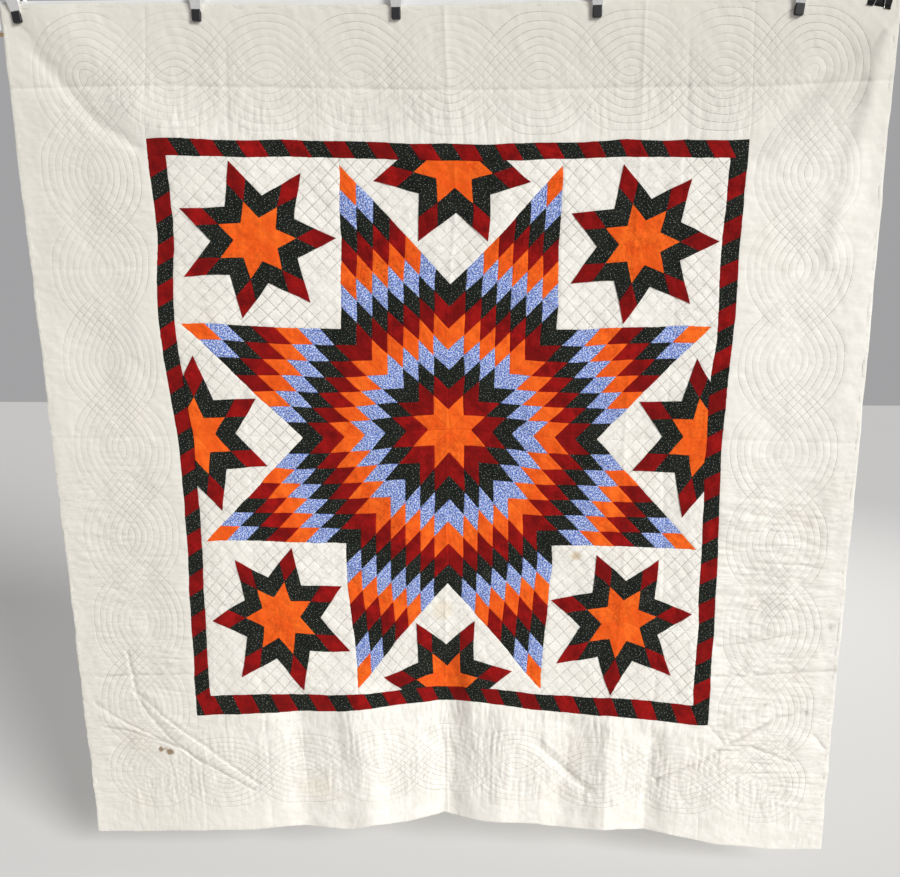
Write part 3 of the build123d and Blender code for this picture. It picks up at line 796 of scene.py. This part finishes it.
# corners that round to one place, in this many steps to a metre, are one corner
WELD_RATE = 1e5
# neighbouring patches lap a little, so nothing shows between them
LAP = 0.35 * MM
# a mesh's inner points keep this far from its rim, in spacings
RIM_GAP = 0.6
LOFT = 0.5 * MM
PUCKER = 1.6 * MM
CRUMPLE = 1.1 * MM
FIELD_CRUMPLE = 0.75 * MM
BORDER_CRUMPLE = 0.5 * MM
SEAM_DEPTH = 1.1 * MM
SEAM_REACH = 3.0 * MM
# what share of that depth the borders' and the sewn-on stars' seams have
BORDER_SEAM = 0.6
APPLIQUE_SEAM = 0.35
# how deep the stitches pull the cloth in, and how far to each side that reaches
DITCH_DEPTH = 0.5 * MM
HATCH_DEPTH = 0.35 * MM
CABLE_DITCH = 3.0 * MM
HATCH_DITCH = 3.2 * MM
PATCH_DITCH = 2.6 * MM
PATCH_LINE_INSET = 9.0 * MM
APPLIQUE_RISE = 1.7 * MM
# no cloth sinks further than this, which keeps it in front of the batting
DEEPEST = 1.6 * MM
BATTING_BEHIND = 2.8 * MM
BACK_INSET = 1.0 * MM
# how far patches are cut off the grain, in radians, where in their cloth, and how uneven in colour
OFF_GRAIN = 0.12
PRINT_SHIFT = 3
MOST_TINT = 0.75
# triangles whose normals are below this along the depth face the viewer
FACES_FRONT = -0.9


def outlines(node):
    """The front outline of each solid of a flat cloth node: (u, v) corners, anticlockwise."""
    mesh = nodes[node].data
    mesh.calc_loop_triangles()
    ids, places, following = {}, [], {}
    ends = set()
    for triangle in mesh.loop_triangles:
        if triangle.normal.y > FACES_FRONT:
            continue
        ring = []
        for index in triangle.vertices:
            place = mesh.vertices[index].co
            key = (round(place.x * WELD_RATE), round(place.z * WELD_RATE))
            if key not in ids:
                ids[key] = len(places)
                places.append((place.x - STAR_X, place.z - STAR_Z))
            ring.append(ids[key])
        ends.update((ring[k], ring[(k + 1) % 3]) for k in range(3))
    for start, end in ends:
        if (end, start) not in ends:
            following[start] = end
    found = []
    while following:
        start, here = following.popitem()
        loop = [start]
        while here != start:
            loop.append(here)
            here = following.pop(here)
        found.append(np.array([places[k] for k in loop]))
    return sorted(found, key=lambda loop: tuple(loop.mean(0)))


def side_distance(points, corners):
    """How far points are inside the nearest side of a convex outline."""
    nearest = np.full(len(points), np.inf)
    for start, end in zip(corners, np.roll(corners, -1, 0)):
        run = (end - start) / np.linalg.norm(end - start)
        across, up = (points - start).T
        nearest = np.minimum(nearest, up * run[0] - across * run[1])
    return nearest


def fill(corners, spacing):
    """A triangle mesh of a convex outline. Its first points are its rim, in order."""
    rim = []
    for start, end in zip(corners, np.roll(corners, -1, 0)):
        count = max(1, round(np.linalg.norm(end - start) / spacing))
        rim += [start + (end - start) * k / count for k in range(count)]
    low, high = corners.min(0), corners.max(0)
    row_gap = spacing * math.sqrt(0.75)
    across = np.arange(low[0], high[0], spacing)
    up = np.arange(low[1], high[1], row_gap)
    grid_u, grid_v = np.meshgrid(across, up)
    grid_u = grid_u + (np.arange(len(up)) % 2)[:, None] * spacing / 2
    grid = np.column_stack((grid_u.ravel(), grid_v.ravel()))
    grid = grid[side_distance(grid, corners) > RIM_GAP * spacing]
    points = np.vstack((rim, grid))
    ring = [list(range(len(rim)))]
    found = geometry.delaunay_2d_cdt([Vector(p) for p in points], [], ring, 1, 1e-7)
    return np.array([tuple(p) for p in found[0]]), np.array(found[2]), len(rim)


def grown(corners, distance):
    """A convex outline with every side moved out."""
    sides = np.roll(corners, -1, 0) - corners
    sides /= np.linalg.norm(sides, axis=1)[:, None]
    out = np.column_stack((sides[:, 1], -sides[:, 0]))
    before = np.roll(out, 1, 0)
    return corners + distance * (out + before) / (1 + (out * before).sum(1))[:, None]


class Cloth:
    """The gathered points, faces and attributes of one cloth piece."""

    def __init__(self):
        self.flat, self.local, self.triangles, self.quads = [], [], [], []
        self.edge, self.tint, self.under = [], [], []
        self.count = 0
        self.area = 0.0

    def add_patch(self, corners, spacing, rng, printed):
        """One cut piece of cloth, with a rim turned under."""
        corners = grown(corners, LAP)
        points, triangles, rim = fill(corners, spacing)
        edge = np.maximum(side_distance(points, corners), 0)
        total = len(points)
        points = np.vstack((points, points[:rim], points[:rim]))
        edge = np.concatenate((edge, np.zeros(2 * rim)))
        under = np.concatenate((np.zeros(total + rim), np.ones(rim)))
        side = np.arange(rim)
        after = (side + 1) % rim
        start = self.count
        quads = np.column_stack((total + side, total + rim + side, total + rim + after, total + after))
        self.triangles.append(triangles + start)
        self.quads.append(quads + start)
        self.flat.append(points)
        turn, shift, tint = 0.0, 0.0, 0.0
        if printed:
            turn = rng.uniform(-OFF_GRAIN, OFF_GRAIN)
            turn += math.pi / 4 * rng.integers(0, 8)
            shift = rng.uniform(-PRINT_SHIFT, PRINT_SHIFT, 2)
            tint = rng.uniform(0, MOST_TINT) ** 1.5
        spun = np.array(((math.cos(turn), -math.sin(turn)), (math.sin(turn), math.cos(turn))))
        self.local.append(points @ spun.T + shift)
        self.edge.append(edge)
        self.under.append(under)
        self.tint.append(np.full(len(points), tint))
        self.count += len(points)
        x, y = corners.T
        self.area += 0.5 * abs(x @ np.roll(y, -1) - y @ np.roll(x, -1))

    def finish(self, name, phases, relief, wrinkling, material):
        """Hangs the cloth, gives it its quilting and makes its object."""
        flat = np.vstack(self.flat)
        u, v = flat.T
        edge, under = np.concatenate(self.edge), np.concatenate(self.under)
        x, y, z = hang(u, v)
        y = y - np.maximum(relief(u, v, edge), -DEEPEST) + under * SKIRT
        faces = np.vstack(self.triangles).tolist() + np.vstack(self.quads).tolist()
        values = sheet_values(u, v, edge, phases(u, v, edge))
        values["flat"] = np.column_stack((np.vstack(self.local), np.zeros(len(u))))
        values["tint"] = np.concatenate(self.tint)
        values["standing"], values["crumple"] = wrinkling(u, v)
        values["crease"] = creased(u, v)
        return make_mesh(name, np.column_stack((x, y, z)), faces, material, values)


MOST_BORDER_WRINKLING, FIELD_WRINKLING, PATCH_WRINKLING = 0.42, 0.6, 1.2
# wrinkles that run no way in particular
NO_WAY = 0.5


def border_wrinkling(u, v):
    """Which way the finest wrinkles run, and how strong they are."""
    return upright(u, v), np.minimum(0.6 * pucker_strength(u, v), MOST_BORDER_WRINKLING)


def field_wrinkling(u, v):
    """As border_wrinkling, for the white cloth round the star."""
    return np.full(len(u), NO_WAY), np.full(len(u), FIELD_WRINKLING)


def patch_wrinkling(u, v):
    """As border_wrinkling, for the coloured patches."""
    return np.full(len(u), NO_WAY), PATCH_WRINKLING + 0.5 * noise(u * 6, v * 6, 61)


def sheet_values(u, v, edge, phases):
    """The attributes of a cloth that is cut as one sheet."""
    flat = np.column_stack((u, v, np.zeros(len(u))))
    values = {"sheet": flat, "flat": flat, "edge": edge, "tint": np.zeros(len(u))}
    values["stitch_a"], values["stitch_b"] = phases
    values["standing"], values["crumple"] = field_wrinkling(u, v)
    return values


def make_mesh(name, places, faces, material, values):
    """A smooth object, with its values as attributes of its points."""
    mesh = bpy.data.meshes.new(name)
    mesh.from_pydata(np.asarray(places).tolist(), [], faces)
    for key, data in values.items():
        kind, field = ("FLOAT_VECTOR", "vector") if np.ndim(data) == 2 else ("FLOAT", "value")
        attribute = mesh.attributes.new(key, kind, "POINT")
        attribute.data.foreach_set(field, np.asarray(data, np.float32).ravel())
    mesh.shade_smooth()
    mesh.materials.append(material)
    piece = bpy.data.objects.new(name, mesh)
    scene.collection.objects.link(piece)
    return piece


def patch_lines(u, v, edge):
    """One line of stitches a little inside each patch's seams."""
    inside = np.clip(edge / PATCH_LINE_INSET, 0.3, 1.6)
    return inside, np.full(len(u), NO_LINE)


def seam(edge):
    """The fall of the cloth into a seam."""
    return SEAM_DEPTH * np.exp(-edge / SEAM_REACH)


def border_relief(u, v, edge):
    """Puffed cloth between the cable's lines, with puckers, falling into the seams."""
    lines = ditch(cable(u, v), LINE_STEP, CABLE_DITCH)
    wrinkled = PUCKER * puckers(u, v) + BORDER_CRUMPLE * crumples(u, v)
    return LOFT + wrinkled - DITCH_DEPTH * lines - BORDER_SEAM * seam(edge)


def field_relief(u, v, edge):
    """White cloth between the lines of the crosshatch."""
    lines = ditch(hatch(u, v), HATCH_STEP, HATCH_DITCH)
    return LOFT + FIELD_CRUMPLE * crumples(u, v) - HATCH_DEPTH * lines - seam(edge)


def patch_relief(u, v, edge):
    """A patch that puffs up inside its line of stitches."""
    lines = np.exp(-(((edge - PATCH_LINE_INSET) / PATCH_DITCH) ** 2))
    return LOFT + CRUMPLE * crumples(u, v) - DITCH_DEPTH * lines - seam(edge)


def raised_relief(u, v, edge):
    """As a pieced patch, but lying on top of the white cloth, with hardly sunk seams."""
    return LOFT + CRUMPLE * crumples(u, v) - APPLIQUE_SEAM * seam(edge) + APPLIQUE_RISE


def border_lines(u, v, edge):
    return cable(u, v)


def field_lines(u, v, edge):
    return hatch(u, v)


# each kind of cloth's stitched lines, relief, finest wrinkles and mesh spacing
KINDS = {
    "pieced": (patch_lines, patch_relief, patch_wrinkling, PATCH_FINE),
    "raised": (patch_lines, raised_relief, patch_wrinkling, PATCH_FINE),
    "field": (field_lines, field_relief, field_wrinkling, FINE),
    "border": (border_lines, border_relief, border_wrinkling, FINE),
}
# which cloths each group of patches is cut from, and its kind
PATCHED = (
    ("star", "pieced", ("orange", "red", "dark", "blue")),
    ("frame", "pieced", ("red", "dark")),
    ("applique", "raised", ("orange", "dark", "red")),
)
PATCH_SLOTS = {colour: f"cotton_{colour}" for colour in ("orange", "red", "blue")}
PATCH_SLOTS["dark"] = "cotton_dark_green"
MUSLIN = "muslin_white"
# piece, the CAD node it stands for, its slot and its kind
CLOTHS = [
    (f"{group}_{colour}_cloth", f"{group}_{colour}_patches", PATCH_SLOTS[colour], kind)
    for group, kind, colours in PATCHED
    for colour in colours
]
CLOTHS += [(f"white_{shape}", f"setting_{shape}", MUSLIN, "field") for shape in ("squares", "triangles")]
CLOTHS += [
    (f"white_border_{side}", f"border_{side}", MUSLIN, "border")
    for side in ("top", "bottom", "left", "right")
]
FIRST_SEED = 100


def make_cloths(cottons):
    """Every piece of the quilt's top."""
    for number, (name, node, slot, kind) in enumerate(CLOTHS):
        lines, relief, wrinkling, spacing = KINDS[kind]
        rng = np.random.default_rng(FIRST_SEED + number)
        cloth = Cloth()
        printed = slot != MUSLIN
        loops = outlines(node)
        for corners in loops:
            cloth.add_patch(corners, spacing * COARSE, rng, printed)
        piece = cloth.finish(name, lines, relief, wrinkling, cottons[slot])
        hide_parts(node)
        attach(piece, "rack")


# an edge distance, in metres, at which no seam shows and no painted seam shade falls
FAR_FROM_SEAMS = 1.0


def make_back(cottons):
    """The quilt's inside and back: batting with the backing over it, as one soft slab."""
    spacing = BACK_FINE * COARSE
    columns = round(2 * SIDE / spacing) + 1
    rows = round((TOP - HEM) / spacing) + 1
    across = np.linspace(-SIDE + BACK_INSET, SIDE - BACK_INSET, columns)
    up = np.linspace(HEM + BACK_INSET, TOP - BACK_INSET, rows)
    grid_u, grid_v = (a.ravel() for a in np.meshgrid(across, up))
    x, y, z = hang(grid_u, grid_v)
    count = len(grid_u)
    front = y + BATTING_BEHIND
    back = y + (BACK_Y - FRONT_Y)
    places = np.vstack((np.column_stack((x, back, z)), np.column_stack((x, front, z))))
    grid = np.arange(count).reshape(rows, columns)
    corner = grid[:-1, :-1].ravel()
    cell = np.column_stack((corner, corner + 1, corner + columns + 1, corner + columns))
    faces = cell[:, ::-1].tolist() + (cell + count).tolist()
    loop = np.concatenate((grid[0, :-1], grid[:-1, -1], grid[-1, :0:-1], grid[:0:-1, 0]))
    after = np.roll(loop, -1)
    faces += np.column_stack((loop, after, after + count, loop + count)).tolist()
    u, v = np.tile((grid_u, grid_v), 2)
    inside = (np.abs(u) < FRAME_U) & (np.abs(v) < FRAME_V)
    phases = [np.where(inside, inner, outer) for inner, outer in zip(hatch(u, v), cable(u, v))]
    values = sheet_values(u, v, np.full(len(u), FAR_FROM_SEAMS), phases)
    piece = make_mesh("quilt_back", places, faces, cottons["backing"], values)
    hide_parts("backing", "batting")
    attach(piece, "rack")


BINDING_STEP = 5 * MM
# across the folded strip, in mm: how far in from the quilt's edge, and how far behind its front
BINDING_SECTION = (
    (10.0, 1.1), (9.8, 0.15), (9.0, -0.25), (7.0, -0.42), (4.5, -0.42),
    (2.0, -0.35), (0.6, 0.1), (-0.1, 1.0), (-0.3, 2.3), (-0.1, 3.6),
    (0.6, 4.5), (2.0, 4.85), (6.0, 4.9), (9.6, 4.85), (10.0, 4.4),
)


def make_binding(cottons):
    """The strip folded over the quilt's edge, mitred at its corners."""
    spacing = BINDING_STEP * COARSE
    shares = []
    for side in range(4):
        length = 2 * SIDE if side % 2 == 0 else TOP - HEM
        count = round(length / spacing)
        shares += [(side, k / count) for k in range(count)]
    rings = len(shares)
    places, flats, edges = [], [], []
    for inset, depth in BINDING_SECTION:
        inset, depth = inset * MM, depth * MM
        left, right = -SIDE + inset, SIDE - inset
        low, high = HEM + inset, TOP - inset
        corners = np.array(((left, low), (right, low), (right, high), (left, high)))
        flat = np.array([corners[s] + (corners[(s + 1) % 4] - corners[s]) * t for s, t in shares])
        x, y, z = hang(*flat.T)
        wrinkle = 0.25 * MM * noise(flat[:, 0] * 90, flat[:, 1] * 90, 41)
        places.append(np.column_stack((x, y + depth + wrinkle, z)))
        flats.append(flat)
        # an edge of 0.8 mm gives painted seam shade at the strip's outer fold and inner rims; 2 mm gives none
        edges.append(np.full(rings, 2.0 * MM if 0.5 * MM < inset < 9.5 * MM else 0.8 * MM))
    grid = np.arange(len(BINDING_SECTION) * rings).reshape(-1, rings)
    after = np.roll(grid, -1, 1)
    faces = np.stack((grid[:-1], grid[1:], after[1:], after[:-1]), -1).reshape(-1, 4).tolist()
    u, v = np.vstack(flats).T
    values = sheet_values(u, v, np.concatenate(edges), np.full((2, len(u)), NO_LINE))
    piece = make_mesh("edge_binding", np.vstack(places), faces, cottons["binding"], values)
    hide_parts("binding")
    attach(piece, "rack")


# ---- hard materials ----


def hard_shade(name):
    """A shade, and coordinates in metres that stay with its piece as it moves."""
    shade = Shade(name)
    return shade, shade.add("TexCoord", output="Object")


def nickel(name, colour, rough, metallic=1.0):
    """Plated steel with fine scratches and a little tarnish."""
    shade, place = hard_shade(name)
    tarnish = shade.step(shade.noise(place, 160, 3.0, 0.6), 0.5, 0.75, 0.0, 0.4)
    base = shade.mix(tarnish, colour, darkened(colour, 0.62))
    scratch = shade.noise(shade.scaled(place, (900, 900, 70)), 1.0, 1.0)
    roughness = shade.step(shade.noise(place, 220, 3.0), 0.3, 0.8, rough, rough + 0.15)
    return shade.surface(base, roughness, metallic, shade.bump(scratch, 0.03 * MM, 0.15))


def vinyl():
    """Dipped black vinyl: satin, slightly pebbled, greyed by handling."""
    shade, place = hard_shade("black_vinyl")
    wear_and_shade = shade.step(shade.noise(place, 240, 4.0, 0.6), 0.5, 0.8, 0.0, 0.6)
    base = shade.mix(wear_and_shade, (0.010, 0.010, 0.012), (0.035, 0.035, 0.037))
    roughness = shade.step(shade.noise(place, 900, 2.0), 0.3, 0.8, 0.38, 0.62)
    pebble = shade.noise(place, 2600, 2.0)
    return shade.surface(base, roughness, 0.0, shade.bump(pebble, 0.06 * MM, 0.4))


def enamel():
    """Black baked enamel on spring steel."""
    shade, place = hard_shade("black_enamel")
    chipped = shade.step(shade.noise(place, 600, 3.0), 0.62, 0.7, 0.0, 0.5)
    base = shade.mix(chipped, (0.002, 0.002, 0.003), (0.012, 0.012, 0.012))
    peel = shade.noise(place, 900, 1.0)
    return shade.surface(base, 0.46, 0.0, shade.bump(peel, 0.03 * MM, 0.2), specular_ior_level=0.15)


def painted_wood():
    """White satin paint that lets the board's grain show through as faint ridges."""
    shade, place = hard_shade("white_paint")
    grain = shade.noise(shade.scaled(place, (3, 260, 260)), 1.0, 4.0)
    dirt = shade.step(shade.noise(place, 7, 5.0, 0.65), 0.5, 0.8, 0.0, 0.35)
    base = shade.mix(dirt, (0.74, 0.74, 0.73), (0.60, 0.585, 0.54))
    return shade.surface(base, 0.42, 0.0, shade.bump(grain, 0.12 * MM, 0.5))


def pine():
    """Bare sanded pine with its growth rings."""
    shade, place = hard_shade("pine")
    warped = shade.noise(place, 9, 3.0, output="Color")
    wobble = shade.add("VectorMath", {0: place, 1: warped}, "Vector", operation="ADD")
    inputs = {"Vector": wobble, "Scale": 26, "Distortion": 2.5, "Detail": 2.0}
    rings = shade.add("TexWave", inputs, "Fac")
    base = shade.mix(rings, (0.60, 0.40, 0.20), (0.42, 0.24, 0.10))
    pores = shade.noise(shade.scaled(place, (2400, 60, 2400)), 1.0, 2.0)
    base = shade.mix(shade.step(pores, 0.55, 0.8, 0.0, 0.4), base, (0.33, 0.19, 0.08))
    return shade.surface(base, 0.62, 0.0, shade.bump(pores, 0.1 * MM, 0.4))


def make_hard():
    """Every carried-over CAD piece gets its own material by its slot."""
    hard = {
        "lever_nickel": nickel("nickel", (0.88, 0.87, 0.85), 0.22, metallic=0.62),
        "rivet_steel": nickel("rivet_nickel", (0.60, 0.59, 0.56), 0.26),
        "handle_nickel": nickel("wire_nickel", (0.70, 0.69, 0.67), 0.16),
        "spring_steel": nickel("spring_wire", (0.44, 0.43, 0.42), 0.30),
        "screw_steel": nickel("zinc", (0.62, 0.58, 0.44), 0.34),
        "vinyl_black": vinyl(),
        "binder_black": enamel(),
        "rail_paint": painted_wood(),
        "spacer_wood": pine(),
    }
    for part in frame["record"]["subparts"]:
        slot = part["material_slot"]
        if slot in hard:
            mesh = nodes[part["node"]].data
            mesh.materials.clear()
            mesh.materials.append(hard[slot])


def make_springs():
    """Each clamp's torsion spring, as a fixed copy of its CAD mesh in place of the CAD node."""
    for joint in frame["joints"]:
        if not joint["name"].startswith("clamp_"):
            continue
        number = joint["name"].split("_")[1]
        node = f"clamp_{number}_spring"
        piece = bpy.data.objects.new(f"coil_{number}", nodes[node].data.copy())
        scene.collection.objects.link(piece)
        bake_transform(piece)
        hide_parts(node)


make_camera()
make_stage()
cottons = make_cottons()
make_cloths(cottons)
make_back(cottons)
make_binding(cottons)
make_hard()
make_springs()
